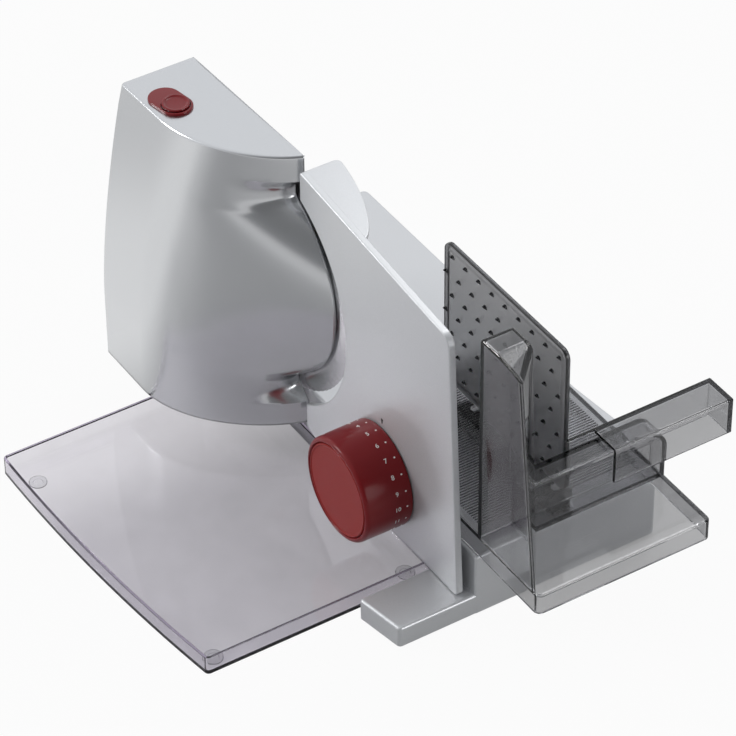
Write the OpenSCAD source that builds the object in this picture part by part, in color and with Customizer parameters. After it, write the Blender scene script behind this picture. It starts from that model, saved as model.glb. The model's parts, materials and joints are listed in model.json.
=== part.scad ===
// Electric food slicer: motor tower with a round blade, an adjustable stop plate with a red dial,
// a sliding food carriage with thumb guard and spiked pusher, and a flat slice tray.
// Working frame: x = 0 is the cutting plane (+x food side, -x slice side), y = 0 is the blade axis
// (+y to the back), z = 0 is the table.

/* [Blade and drive] */
// Blade diameter
blade_d = 170; // [160:1:175]
// Height of the blade axis over the table
blade_z = 121; // [119:1:123]
// Depth of the blade's dish
blade_dish = 2.8; // [2:0.1:3]
// Teeth of the worm wheel
wheel_teeth = 22; // [20:1:24]
// Module of the worm wheel
wheel_module = 1.5; // [1.4:0.1:1.5]
// Outer diameter of the motor can
motor_d = 26; // [22:1:26]
// Length of the motor can
motor_len = 46; // [40:1:48]

/* [Base] */
// Width of the base under the carriage, at its front
base_w = 126; // [118:1:130]
// Width of the base at its widest point
base_flare = 137; // [133:1:140]
// Front face of the base, ahead of the blade axis
base_front = 213.5; // [208:0.5:220]
// Back face of the base, behind the blade axis
base_back = 110; // [100:1:115]
// Height of the base's top over the table
base_h = 45; // [44:0.5:46]
// Wall of the base
base_wall = 3; // [2.5:0.1:3.5]
// Reach of the front foot to the slice side
foot_reach = 57; // [50:1:60]
// Height of the front foot's top
foot_h = 16; // [14:0.5:16]
// Thickness of the rubber feet
pad_h = 1.5; // [1:0.1:2]

/* [Motor housing] */
// Height of the housing's top at the back
tower_h = 216; // [212:1:220]
// Rise of the housing's top from back to front
tower_rise = 5; // [3:0.5:6]
// Width of the housing at the top
tower_top_w = 52; // [48:1:56]
// Width of the housing low down
tower_low_w = 71.5; // [66:0.5:74]
// Back face of the housing, behind the blade axis
tower_back = 83; // [78:1:86]
// Front end of the top and bottom lips, ahead of the blade axis
tower_lip = 41; // [38:1:44]
// Front end of the grooves between the lips and the dome
tower_groove = 31; // [30:1:36]
// Radius of the dome behind the blade
dome_r = 72; // [70:1:74]
// Wall of the housing
tower_wall = 2.4; // [2:0.1:2.6]

/* [Stop plate and dial] */
// Slice thickness at rest
rest_cut = 5; // [3:0.5:8]
// Greatest slice thickness
max_cut = 18; // [16:0.5:18]
// Thickness of the stop plate
plate_t = 4.6; // [4:0.1:5]
// Height of the stop plate at its back end
plate_h = 215.3; // [212:0.1:217]
// Diameter of the dial knob
knob_d = 66; // [62:1:68]
// Length of the dial knob
knob_len = 31.5; // [30.5:0.5:33]
// Turn of the dial for the whole range, in degrees
knob_turn = 324; // [300:2:330]

/* [Carriage and pusher] */
// Top of the carriage floor
floor_z = 60; // [59:0.5:62]
// Width of the carriage
carriage_w = 121; // [116:1:124]
// Front edge of the carriage at rest, ahead of the blade axis
carriage_front = 272.5; // [268:0.5:276]
// Stroke of the carriage
carriage_stroke = 150; // [130:5:150]
// Height of the carriage's front wall
wall_top = 96; // [92:1:98]
// Height of the thumb guard
guard_top = 203.5; // [198:0.5:204]
// Wall of the clear plastic parts
clear_t = 2.5; // [2:0.1:3]
// Food-side end of the pusher arm at rest
arm_reach = 164; // [158:1:168]
// Top of the pusher plate
pusher_top = 163; // [155:1:166]

/* [Slice tray] */
// Reach of the tray to the slice side
tray_reach = 167.5; // [160:0.5:170]
// Height of the tray's rim
tray_h = 14; // [12:0.5:14.5]
// Wall of the tray
tray_t = 2; // [1.8:0.1:2.5]

/* [Hidden] */
$fn = 64;
eps = 0.01;
shift_x = (tray_reach - arm_reach) / 2;
shift_y = (carriage_front - base_back) / 2;

silver = [0.72, 0.73, 0.75];
smoke = [0.35, 0.35, 0.38, 0.6];
red = [0.62, 0.05, 0.07];
steel = [0.8, 0.8, 0.82];
dark = [0.12, 0.12, 0.13];

// Drive: the worm lies along y above the wheel, in line with the motor
drive_x = -22;
pitch_r = wheel_teeth * wheel_module / 2;
wheel_tip = pitch_r + 1.3;
wheel_root = pitch_r - 1.8;
wheel_w = 5;
worm_pitch_r = 5;
worm_tip = worm_pitch_r + 1.3;
worm_root = worm_pitch_r - 1.6;
worm_lead = PI * wheel_module;
worm_half = 11;
drive_z = blade_z + pitch_r + worm_pitch_r;
shaft_r = 5;
rotor_r = 2.5;
run_gap = 0.05;
gear_plate_x = -8;
gear_plate_t = 2.5;
blade_t = 1.2;
hub_t = 1.2;
hub_r = 18;
boss_r = 8;
motor_y0 = 17;

// Stop plate: the axis of the knob and of the guide rods
plate_face = -rest_cut;
plate_back = plate_face - plate_t;
knob_y = -132;
knob_z = 55;
knob_x0 = plate_back - 0.6;
knob_x1 = plate_back - knob_len;
knob_wall = 2.5;
knob_round = 2.6;
face_r = knob_d / 2 - 4;
drum_out = 19;
drum_in = 15;
deg_per_mm = knob_turn / max_cut;
pin_x = knob_x1 + knob_wall + rest_cut + 3.4;
pin_r = 1.5;
rod_r = 4;
rod_z = 30;
rod_y = [-75, -190];
rod_len = 45;
riser_x = 0.3;

// Clear parts
guard_x = 2;
guard_back = 212;
wall_y0 = -228;
wall_y1 = -212.6;
carriage_back = 78;
skirt_z = base_h + 0.8;
rail_x = 62;
runner_screw_y = [-199.8, -119.8];
runner_y = [-205, -110];
rail_back = runner_y[1] + carriage_stroke + 18;
pusher_x = 62;
pusher_t = 3.5;
arm_top = 100;
arm_z0 = 75;
arm_y0 = -231.5;
arm_y1 = -208.6;

// Moves the working frame so that the origin is under the middle of the whole machine
module place() translate([shift_x, shift_y, 0]) children();

// A cylinder along x from x0 to x1 about (y, z)
module xcyl(x0, x1, r, y = 0, z = 0) translate([x0, y, z]) rotate([0, 90, 0]) cylinder(h = x1 - x0, r = r);

// A cylinder along y from y0 to y1 about (x, z)
module ycyl(y0, y1, r, x = 0, z = 0) translate([x, y0, z]) rotate([-90, 0, 0]) cylinder(h = y1 - y0, r = r);

// A box from its low corner to its high corner
module box(lo, hi) translate(lo) cube(hi - lo);

// A plate in the yz plane from x0 to x1: the child outline's x is y and its y is z
module side_plate(x0, x1) translate([x0, 0, 0]) rotate([90, 0, 90]) linear_extrude(height = x1 - x0) children();

// A turned part about the x axis: the profile's x is the radius and its y runs along x
module turned(y = 0, z = 0) translate([0, y, z]) rotate([0, 90, 0]) rotate_extrude() children();

// A screw with its head's underside at z = 0, head up
module screw(head_r, head_h, shank_r, len) {
    cylinder(h = head_h, r = head_r);
    translate([0, 0, -len]) cylinder(h = len + eps, r = shank_r);
}

// Joins rings of points, all of one length, into a closed skin with flat ends
module skin(rings) {
    n = len(rings[0]);
    m = len(rings);
    points = [for (r = rings) each r];
    sides = [for (k = [0:m - 2], i = [0:n - 1]) let (a = k * n + i, b = k * n + (i + 1) % n)
        each [[a, a + n, b], [b, a + n, b + n]]];
    caps = [[for (i = [0:n - 1]) i], [for (i = [n - 1:-1:0]) (m - 1) * n + i]];
    polyhedron(points, concat(sides, caps), convexity = 8);
}

// Base

function base_plan(inset = 0) = [[riser_x + inset, -base_front + inset], [base_w - inset, -base_front + inset],
    [base_flare - inset, -162], [base_flare - 4 - inset, -120], [base_flare - 4 - inset, base_back - inset],
    [riser_x + inset, base_back - inset]];
foot_plan = [[-foot_reach + 6, -base_front], [riser_x + 1, -base_front], [riser_x + 1, -base_front + 34],
    [-foot_reach, -base_front + 34]];
// The rear foot keeps inside the shadow of the tower's back corner
function rear_foot(w = 0) = [[-57 + w, 46 + w], [riser_x + 1 - w, 46 + w], [riser_x + 1 - w, base_back - 4 - w],
    [-50 + w, base_back - 4 - w], [-57 + w, base_back - 11 - w]];
rear_foot_h = 24;
boss_at = [[34, -203], [114, -200], [12, 98], [120, 98]];
pad_at = [[-42, -197], [116, -199], [120, 97], [-42, 72]];

module base_shell() color(silver) place() difference() {
    union() {
        difference() {
            translate([0, 0, pad_h]) linear_extrude(height = base_h - pad_h) polygon(base_plan());
            translate([0, 0, pad_h - eps]) linear_extrude(height = base_h - pad_h - base_wall)
                polygon(base_plan(base_wall));
        }
        translate([0, 0, pad_h]) linear_extrude(height = foot_h - pad_h) polygon(foot_plan);
        difference() {
            translate([0, 0, pad_h]) linear_extrude(height = rear_foot_h - pad_h) polygon(rear_foot());
            translate([0, 0, pad_h - eps]) linear_extrude(height = rear_foot_h - pad_h - base_wall)
                polygon(rear_foot(base_wall));
        }
        translate([pad_at[3][0], pad_at[3][1], pad_h]) cylinder(h = rear_foot_h - pad_h - 1, r = 8);
        for (p = boss_at) translate([p[0], p[1], pad_h + 2.2]) cylinder(h = base_h - pad_h - 4, r = 4.5);
    }
    for (p = boss_at) translate([p[0], p[1], pad_h]) cylinder(h = 16, r = 1.6);
    box([rail_x - 7, -base_front + 4, base_h - 12], [rail_x + 7, rail_back + 4, base_h + eps]);
    for (y = rod_y) xcyl(riser_x - eps, riser_x + base_wall + 1, 7, y, rod_z);
    box([riser_x - 1, knob_y - 3.3, 25.7], [riser_x + base_wall + 1, knob_y + 3.3, 31.3]);
    ycyl(base_back - base_wall - 1, base_back + 1, 5.5, 100, 24);
}

module bottom_cover() color(dark) place() difference() {
    translate([0, 0, pad_h]) linear_extrude(height = 2) polygon(base_plan(base_wall + 0.4));
    for (p = boss_at) translate([p[0], p[1], pad_h - eps]) cylinder(h = 3, r = 1.7);
    for (p = boss_at) translate([p[0], p[1], pad_h - eps]) cylinder(h = 1.2, r = 3.4);
}

module cover_screws() color(steel) place() for (p = boss_at)
    translate([p[0], p[1], pad_h + 1.15]) mirror([0, 0, 1]) screw(3, 1, 1.5, 12);

module rubber_feet() color(dark) place() for (p = pad_at) translate([p[0], p[1], 0]) cylinder(h = pad_h, r = 9);

// Channel let into the base's top, closed at both ends so that the carriage stops there
module carriage_rail() color(steel) place() difference() {
    box([rail_x - 6.8, -base_front + 4.2, base_h - 11.8], [rail_x + 6.8, rail_back + 3.8, base_h]);
    box([rail_x - 4.5, -base_front + 7, base_h - 9], [rail_x + 4.5, rail_back, base_h + 1]);
}

module guide_bushes() color([0.75, 0.6, 0.3]) place() for (y = rod_y) difference() {
    union() {
        xcyl(riser_x, riser_x + 20, 6.95, y, rod_z);
        xcyl(riser_x + base_wall, riser_x + base_wall + 2, 9, y, rod_z);
    }
    xcyl(riser_x - 1, riser_x + 21, rod_r + run_gap, y, rod_z);
}

// Fixed arm whose upright pin runs in the dial's helical slot
module cam_follower() color(steel) place() {
    box([pin_x - 1.7, knob_y - 3, 26], [riser_x + base_wall + 1, knob_y + 3, 31]);
    box([riser_x + base_wall, knob_y - 12, 21], [riser_x + base_wall + 3, knob_y + 12, 36]);
    translate([pin_x, knob_y, 30]) cylinder(h = 9.5, r = pin_r);
}

module cord_gland() color(dark) place() difference() {
    union() {
        ycyl(base_back - 10, base_back + eps - 0.4, 5.4, 100, 24);
        ycyl(base_back - 10, base_back - base_wall, 8, 100, 24);
    }
    ycyl(base_back - 11, base_back + 1, 3.4, 100, 24);
}

module terminal_block() color([0.85, 0.85, 0.82]) place() difference() {
    box([88, 70, base_h - base_wall - 14], [112, 84, base_h - base_wall]);
    for (x = [94, 106]) ycyl(69, 85, 2, x, base_h - base_wall - 9);
}

// Motor housing: each height has one plan curve from the back edge round to the blade side

tower_z0 = 24;
tower_right = -3;
// Left side of the housing at height z: straight at the bottom and leaning in towards the top
function tower_left(z) = -tower_low_w
    + (tower_low_w - tower_top_w) * pow(max(0, (z - 70) / (tower_h - 70)), 1.6);
function ramp(a, b, z) = min(1, max(0, (z - a) / (b - a)));
// Front end of the plan curve at the blade side: a lip, a groove or the dome's circle
function tower_front(z) = let (d = abs(z - blade_z), k = ramp(40, 48, z) * ramp(203, 196, z))
    max(tower_lip + (tower_groove - tower_lip) * k, d < dome_r ? sqrt(dome_r * dome_r - d * d) : 0);
function bezier(a, b, c, d, t) = a * pow(1 - t, 3) + b * 3 * t * pow(1 - t, 2) + c * 3 * t * t * (1 - t)
    + d * t * t * t;
// Plan ring at height z, drawn in by the wall w: the lip's curve, which swells to the dome or sinks to a groove
function tower_ring(z, w, steps) = let (
    l = tower_left(z) + w, lip = tower_lip - w * 1.6, out = tower_front(z) - tower_lip, a = 39,
    p1 = [l, a - (a + lip) * 0.5], p2 = [tower_right - (tower_right - l) * 0.42, (a + lip) * 0.1 - lip])
    concat([[tower_right, tower_back - w, z], [l + 3, tower_back - w, z], [l, tower_back - w - 3, z]],
        [for (i = [0:steps]) let (p = bezier([l, a], p1, p2, [tower_right, -lip], i / steps))
            [p[0], p[1] - out * swell(p[0] - tower_right, out), z]]);
// Share of the swelling or sinking at a distance from the blade side
function swell(x, out) = pow(max(0, 1 + x / (out > 0 ? 57 : 36)), out > 0 ? 1.6 : 1.2);
tower_levels = [tower_z0, 30, 40, 44, 48, 53, 56.2, 59, 63, 68, 75, 90, 105, 121, 137, 152, 165,
    174, 179.5, 183.5, 186.2, 191, 196, 203];
// The top is a plane that rises to the front, so the last ring is tilted
function tilted(ring, lift) = [for (p = ring) [p[0], p[1],
    tower_h + lift + tower_rise * (tower_back - p[1]) / (tower_back + tower_lip)]];
// Moves a ring's ends out past the blade side, so that the hollow is open there
function opened(ring) = [for (p = ring) [p[0] + (p[0] == tower_right ? 1 : 0), p[1], p[2]]];

module motor_housing() color(silver) place() difference() {
    skin(concat([for (z = tower_levels) tower_ring(z, 0, 18)], [tilted(tower_ring(tower_h, 0, 18), 0)]));
    translate([0, 0, -eps]) skin(concat(
        [for (z = tower_levels) opened(tower_ring(z, tower_wall, 18))],
        [tilted(opened(tower_ring(tower_h, tower_wall, 18)), -tower_wall)]));
    translate([button_at[0], button_at[1], tower_h - 8]) cylinder(h = 20, r = 6.5);
}

gear_plate_y = tower_back - tower_wall - 0.5;
// Plate that closes the housing behind the blade and carries the whole drive
module gear_plate() color([0.5, 0.5, 0.52]) place() difference() {
    side_plate(gear_plate_x, gear_plate_x + gear_plate_t) union() {
        polygon([[gear_plate_y, tower_z0 + 0.1], [gear_plate_y, tower_h - 3.5], [-25, tower_h - 0.5],
            [-25, tower_z0 + 0.1]]);
        translate([0, blade_z]) circle(r = dome_r - 17);
    }
    xcyl(gear_plate_x - 1, 0, 9, 0, blade_z);
    for (p = [[20, 190], [60, 190], [20, 50], [60, 50]]) xcyl(gear_plate_x - 1, 0, 2.1, p[0], p[1]);
}

module housing_screws() color(steel) place() for (p = [[20, 190], [60, 190], [20, 50], [60, 50]])
    translate([gear_plate_x + gear_plate_t, p[0], p[1]]) rotate([0, 90, 0]) screw(3.6, 1.8, 2, 14);

module shaft_bush() color([0.75, 0.6, 0.3]) place() difference() {
    union() {
        xcyl(gear_plate_x - 10, gear_plate_x + gear_plate_t - 0.3, 8.95, 0, blade_z);
        xcyl(gear_plate_x - 2.5, gear_plate_x, 13, 0, blade_z);
    }
    xcyl(gear_plate_x - 11, 0, shaft_r + run_gap, 0, blade_z);
}

// Angle bracket on the gear plate: an upright wall with a hole for the motor's nose
module motor_bracket() color(steel) place() difference() {
    union() {
        box([drive_x - 15, motor_y0 - 3, drive_z - 9], [gear_plate_x, motor_y0, drive_z + 15]);
        box([gear_plate_x - 3, motor_y0 - 3, drive_z + 14], [gear_plate_x, motor_y0 + 40, drive_z + 26]);
    }
    ycyl(motor_y0 - 4, motor_y0 + 1, 7, drive_x, drive_z);
    for (y = [motor_y0 + 10, motor_y0 + 30]) xcyl(gear_plate_x - 4, gear_plate_x + 1, 1.7, y, drive_z + 21);
}

module bracket_screws() color(steel) place() for (y = [motor_y0 + 10, motor_y0 + 30])
    translate([gear_plate_x - 3, y, drive_z + 21]) rotate([0, -90, 0]) screw(3, 1.6, 1.5, 2.8);

module motor_can() color([0.6, 0.61, 0.63]) place() difference() {
    ycyl(motor_y0, motor_y0 + motor_len, motor_d / 2, drive_x, drive_z);
    ycyl(motor_y0 + 2, motor_y0 + motor_len + 1, motor_d / 2 - 1.2, drive_x, drive_z);
    ycyl(motor_y0 - 1, motor_y0 + 3, rotor_r + run_gap, drive_x, drive_z);
}

module motor_magnets() color(dark) place() for (s = [0, 180]) translate([drive_x, 0, drive_z]) rotate([0, s, 0])
    intersection() {
        difference() {
            ycyl(motor_y0 + 6, motor_y0 + 34, motor_d / 2 - 1.3);
            ycyl(motor_y0 + 5, motor_y0 + 35, motor_d / 2 - 3.3);
        }
        box([3, 0, -10], [20, motor_y0 + 40, 10]);
    }

module motor_end_bell() color(dark) place() difference() {
    ycyl(motor_y0 + motor_len - 4, motor_y0 + motor_len, motor_d / 2 - 1.3, drive_x, drive_z);
    ycyl(motor_y0 + motor_len - 5, motor_y0 + motor_len - 1, rotor_r + run_gap, drive_x, drive_z);
}

module brush_holders() color([0.6, 0.45, 0.2]) place() for (s = [0, 180])
    translate([drive_x, motor_y0 + 38, drive_z]) rotate([0, s, 0]) translate([5.3, -2, -2]) cube([5.6, 5, 4]);

module worm_bush() color([0.75, 0.6, 0.3]) place() difference() {
    union() {
        ycyl(-22, -16, 6, drive_x, drive_z);
        box([drive_x, -22, drive_z - 3], [gear_plate_x, -16, drive_z + 3]);
    }
    ycyl(-23, -15, rotor_r + run_gap, drive_x, drive_z);
}

// Height of the housing's sloping top at a given y
function roof(y) = tower_h + tower_rise * (tower_back - y) / (tower_back + tower_lip);
switch_at = [-38.2, 48.1];
button_at = [-37.7, 42.9];

// Long red surround on the housing's top, lying along its slope
module switch_bezel() color(red) place() difference() {
    translate([switch_at[0], switch_at[1], roof(switch_at[1]) + 0.15])
        rotate([-atan(tower_rise / (tower_back + tower_lip)), 0, 4]) union() {
            translate([-9.8, -4.8, 0]) cube([19.6, 9.6, 2]);
            for (s = [-4.8, 4.8]) translate([0, s, 0]) cylinder(h = 2, r = 9.8);
        }
    translate([button_at[0], button_at[1], tower_h - 5]) cylinder(h = 20, r = 8.6);
}

module microswitch() color(dark) place() box([button_at[0] - 6, button_at[1] - 10, tower_h - 26],
    [button_at[0] + 6, button_at[1] + 10, tower_h - 13]);

module switch_button() color(red) place() translate([button_at[0], button_at[1], 0]) difference() {
    union() {
        translate([0, 0, tower_h - 9.5]) cylinder(h = 14.4, r = 6);
        translate([0, 0, tower_h + 3.8]) cylinder(h = 1.1, r = 8.2);
        translate([0, 0, tower_h - 9.5]) cylinder(h = 2, r = 8);
    }
    translate([0, 0, tower_h + 26]) sphere(r = 22.2);
}

// Blade and its spindle

module blade() color(steel) place() turned(0, blade_z) polygon([
    [boss_r + 0.05, -blade_dish], [hub_r + 8, -blade_dish], [blade_d / 2 - 16, 0], [blade_d / 2, 0],
    [blade_d / 2, -0.35], [blade_d / 2 - 5, -blade_t], [blade_d / 2 - 16.3, -blade_t],
    [hub_r + 7.7, -blade_dish - blade_t], [boss_r + 0.05, -blade_dish - blade_t]]);

module blade_hub() color([0.25, 0.25, 0.27]) place() turned(0, blade_z) polygon([
    [0, -blade_dish - blade_t - hub_t], [hub_r, -blade_dish - blade_t - hub_t], [hub_r, -blade_dish - blade_t],
    [boss_r, -blade_dish - blade_t], [boss_r, -0.9], [0, -0.9]]);

module blade_shaft() color(steel) place() difference() {
    xcyl(-32, -blade_dish - blade_t - hub_t, shaft_r, 0, blade_z);
    turned(0, blade_z) polygon([[4.4, -29], [6, -29], [6, -28], [4.4, -28]]);
}

module worm_wheel() color([0.9, 0.88, 0.8]) place()
    translate([drive_x - wheel_w / 2, 0, blade_z]) difference() {
    union() {
        rotate([90, 0, 90]) linear_extrude(height = wheel_w) polygon([
            for (i = [0:wheel_teeth - 1], q = [0:3]) let (
                a = 90 + 360 / wheel_teeth * (i + 0.5 + [-0.29, -0.13, 0.13, 0.29][q]),
                r = [wheel_root, wheel_tip, wheel_tip, wheel_root][q]) [r * cos(a), r * sin(a)]]);
        xcyl(-2.5, 0.5, 9);
    }
    xcyl(-3, wheel_w + 1, shaft_r);
}

module shaft_circlip() color(dark) place() difference() {
    xcyl(-28.9, -28.1, 7.5, 0, blade_z);
    xcyl(-30, -27, 4.45, 0, blade_z);
    box([-30, -2, blade_z], [-27, 2, blade_z + 9]);
}

// Quarter-turn cap over the hub, with a coin slot
module blade_lock() color([0.3, 0.3, 0.32]) place() difference() {
    turned(0, blade_z) polygon([[boss_r + run_gap, -blade_dish + 0.3], [hub_r - 1, -blade_dish + 0.3],
        [hub_r - 1.6, -0.5], [boss_r + run_gap, -0.5]]);
    for (s = [1, -1]) box([-1.4, s * 13 - 1.2, blade_z - 4], [0, s * 13 + 1.2, blade_z + 4]);
}

// Motor's moving parts

module rotor_shaft() color(steel) place()
    ycyl(-23.5, motor_y0 + motor_len - 1.5, rotor_r, drive_x, drive_z);

// Single right-hand thread swept round the worm's core, one ring every 20 degrees
module worm() color(steel) place() translate([drive_x, 0, drive_z]) {
    turns = 3.5;
    thread = [for (k = [0:round(turns * 18)]) let (a = k * 20, y = worm_lead * (a / 360 - turns / 2),
            ang = 180 + (a - turns * 180))
        [for (c = [[worm_root - 0.5, 1.5], [worm_tip, 0.65], [worm_tip, -0.65], [worm_root - 0.5, -1.5]])
            [c[0] * sin(ang), y + c[1] * 0.8, c[0] * cos(ang)]]];
    difference() {
        union() {
            ycyl(-worm_half, worm_half, worm_root);
            skin(thread);
        }
        ycyl(-worm_half - 1, worm_half + 1, rotor_r);
    }
}

module armature() color([0.45, 0.4, 0.36]) place() translate([drive_x, 0, drive_z]) difference() {
    ycyl(motor_y0 + 9, motor_y0 + 31, 9);
    for (i = [0:6]) rotate([0, i * 360 / 7, 0]) box([-1, motor_y0 + 8, 5], [1, motor_y0 + 32, 10]);
    ycyl(motor_y0 + 8, motor_y0 + 32, rotor_r);
}

module commutator() color([0.75, 0.45, 0.25]) place() difference() {
    ycyl(motor_y0 + 34, motor_y0 + 41.5, 5, drive_x, drive_z);
    ycyl(motor_y0 + 33, motor_y0 + 43, rotor_r, drive_x, drive_z);
}

// Stop plate and dial

plate_back_y = -46;
plate_front_top = -199;
plate_front_low = -209.3;
plate_low_z = foot_h + 0.6;
plate_slope = 0.11;
plate_corner = 9;
lip_w = 22;
lip_len = 65;
lip_t = 3;
function plate_top(y) = plate_h + plate_slope * (y - plate_back_y);

// Top lip in plan: its width falls as a power of what is left of its length, and its nose is round
lip_plan = concat([[plate_face - 1, plate_back_y]],
    [for (k = [0:12]) let (rest = pow(1 - k / 12, 2))
        [plate_face + lip_w * pow(rest, 0.58), plate_back_y - lip_len * (1 - rest)]],
    [[plate_face - 1, plate_back_y - lip_len]]);

module stop_plate() color(silver) place() difference() {
    union() {
        side_plate(plate_back, plate_face) difference() {
            polygon([[plate_back_y, plate_top(plate_back_y)], [-189, plate_top(-189)],
                [plate_front_top + 2.5, plate_top(-189) - 2.2],
                [plate_front_top - 0.5, plate_top(-189) - plate_corner],
                [plate_front_low, plate_low_z], [-100, plate_low_z], [-48.5, 28]]);
            translate([-9, blade_z - 1]) circle(r = 84.2);
            translate([0, blade_z]) circle(r = blade_d / 2 + 1);
        }
        multmatrix([[1, 0, 0, 0], [0, 1, 0, 0], [0, plate_slope, 1, plate_top(0) - lip_t], [0, 0, 0, 1]])
            linear_extrude(height = lip_t) polygon(lip_plan);
    }
    box([plate_back - 1, knob_y - 4.5, 24], [plate_face + 1, knob_y + 4.5, 33]);
    for (y = rod_y) xcyl(plate_face - 3, plate_face + 1, rod_r, y, rod_z);
    xcyl(plate_back - 1, plate_face + 1, 4, knob_y, knob_z);
}

module guide_rods() color(steel) place() for (y = rod_y)
    xcyl(plate_face - 3, plate_face - 3 + rod_len, rod_r, y, rod_z);

module knob_axle() color(steel) place() difference() {
    xcyl(knob_x1 + knob_wall + 2, plate_face, 4, knob_y, knob_z);
    xcyl(knob_x1, knob_x1 + 18, 1.6, knob_y, knob_z);
}

// Screw and washer that hold the dial on its axle, under the dial's face disc
module axle_screw() color(steel) place() {
    xcyl(knob_x1 + 3.2, knob_x1 + knob_wall + 1.9, 5.6, knob_y, knob_z);
    xcyl(knob_x1 + knob_wall + 1.8, knob_x1 + 16, 1.5, knob_y, knob_z);
}

// Hollow dial with a hub that turns on the axle
module knob() color(red) place() turned(knob_y, knob_z) polygon(concat(
    [[4 + run_gap, knob_x1 + 6.2], [6.2, knob_x1 + 6.2], [6.2, knob_x1 + 1.7],
        [face_r + 0.1, knob_x1 + 1.7], [face_r + 0.5, knob_x1 + 0.4]],
    [for (a = [-90:22.5:0])
        [knob_d / 2 - 0.3 - knob_round * (1 - cos(a)), knob_x1 + knob_round * (1 + sin(a))]],
    [[knob_d / 2, knob_x0], [knob_d / 2 - knob_wall, knob_x0],
        [knob_d / 2 - knob_wall - 0.6, knob_x1 + knob_wall + 1.2], [8, knob_x1 + knob_wall + 1.2],
        [8, knob_x0 - 2], [4 + run_gap, knob_x0 - 2]]));

module knob_face() color([0.68, 0.1, 0.12]) place() turned(knob_y, knob_z) polygon([
    [0, knob_x1], [face_r - 0.6, knob_x1], [face_r, knob_x1 + 0.5],
    [face_r, knob_x1 + 1.7], [0, knob_x1 + 1.7]]);

// Drum inside the dial with the helical slot that the fixed pin runs in
module cam_drum() color([0.85, 0.85, 0.82]) place() translate([0, knob_y, knob_z]) difference() {
    xcyl(knob_x1 + knob_wall + 1.2, knob_x0 - 1.5, drum_out);
    xcyl(knob_x1, knob_x0, drum_in);
    skin([for (q = [rest_cut + 0.5:-0.5:rest_cut - max_cut - 0.5]) let (a = -deg_per_mm * q, x = pin_x - q)
        [for (c = [[drum_in - 2, 2.1], [drum_out + 2, 2.1], [drum_out + 2, -2.1], [drum_in - 2, -2.1]])
            [x + c[1], c[0] * sin(a), -c[0] * cos(a)]]]);
}

// Carriage

module carriage() color(smoke) place() difference() {
    union() {
        box([guard_x, -carriage_front, floor_z - clear_t], [carriage_w, -carriage_back, floor_z]);
        box([guard_x, -carriage_front, skirt_z], [carriage_w, -carriage_front + clear_t, floor_z]);
        box([guard_x, -carriage_front, skirt_z], [guard_x + clear_t, -carriage_back, floor_z]);
        box([carriage_w - clear_t, -carriage_front, skirt_z], [carriage_w, -carriage_back, floor_z]);
        difference() {
            box([27, wall_y0, floor_z - 1], [carriage_w - 1, wall_y1, wall_top]);
            box([27 + clear_t, wall_y0 + clear_t, floor_z - 2],
                [carriage_w - 1 - clear_t, wall_y1 - clear_t, wall_top - clear_t]);
        }
        for (y = [-205:4:-carriage_back - 6])
            box([guard_x + 6, y, floor_z - eps], [carriage_w - 8, y + 1.6, floor_z + 0.8]);
    }
    translate([carriage_w - 1, 0, wall_top]) rotate([90, 0, 0]) corner_cut(12, -wall_y1 - 1, -wall_y0 + 1);
    for (y = runner_screw_y) translate([rail_x, y, 0]) {
        cylinder(h = 70, r = 1.7);
        translate([0, 0, floor_z - 0.3]) cylinder(h = 3, r = 3);
    }
}

// Cuts a square corner at the origin back to a radius, along z from z0 to z1
module corner_cut(r, z0, z1) translate([0, 0, z0]) difference() {
    translate([-r, -r, 0]) cube([r + 1, r + 1, z1 - z0]);
    translate([-r, -r, -1]) cylinder(h = z1 - z0 + 2, r = r);
}

// Tapered hollow post: wide on the blade side, narrow on the far side, open below
function guard_ring(z, y_left, x_right, y_right, w) = [[guard_x + w, -guard_back - w, z],
    [guard_x + w, y_left + w * 1.8, z], [x_right - w, y_right + w, z], [x_right - w, -guard_back - w, z]];
module guard_body(w) skin([guard_ring(floor_z + (w > 0 ? -1 : 0.02), -270, 26.8, -234, w),
    guard_ring(guard_top - 4.5 - w * 1.3, -252.5, 24, -230.5, w),
    guard_ring(guard_top - w, -226, 23, -229, w)]);
module thumb_guard() color(smoke) place() difference() {
    guard_body(0);
    guard_body(clear_t);
}

module carriage_runner() color(dark) place() difference() {
    union() {
        box([rail_x - 4, runner_y[0], base_h - 8.4], [rail_x + 4, runner_y[1], base_h + 0.8]);
        box([rail_x - 8, runner_y[0], base_h + 0.4], [rail_x + 8, runner_y[1], floor_z - clear_t]);
    }
    for (y = runner_screw_y) translate([rail_x, y, base_h]) cylinder(h = 30, r = 1.6);
}

module runner_screws() color(steel) place() for (y = runner_screw_y)
    translate([rail_x, y, floor_z - 0.28]) screw(2.6, 0.7, 1.5, 12);

// Pusher: a spiked plate on an arm that rides along the carriage's front wall

pusher_y0 = arm_y1;
pusher_y1 = -86;
module pusher_plate() color(smoke) place() {
    box([pusher_x, pusher_y0, floor_z + 2], [pusher_x + clear_t, pusher_y1, pusher_top]);
    difference() {
        box([pusher_x, pusher_y0, floor_z + 2], [pusher_x + pusher_t, pusher_y1, pusher_top]);
        box([pusher_x - 1, pusher_y0 + clear_t, floor_z + 2 + clear_t],
            [pusher_x + pusher_t + 1, pusher_y1 - clear_t, pusher_top - clear_t]);
    }
}

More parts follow.
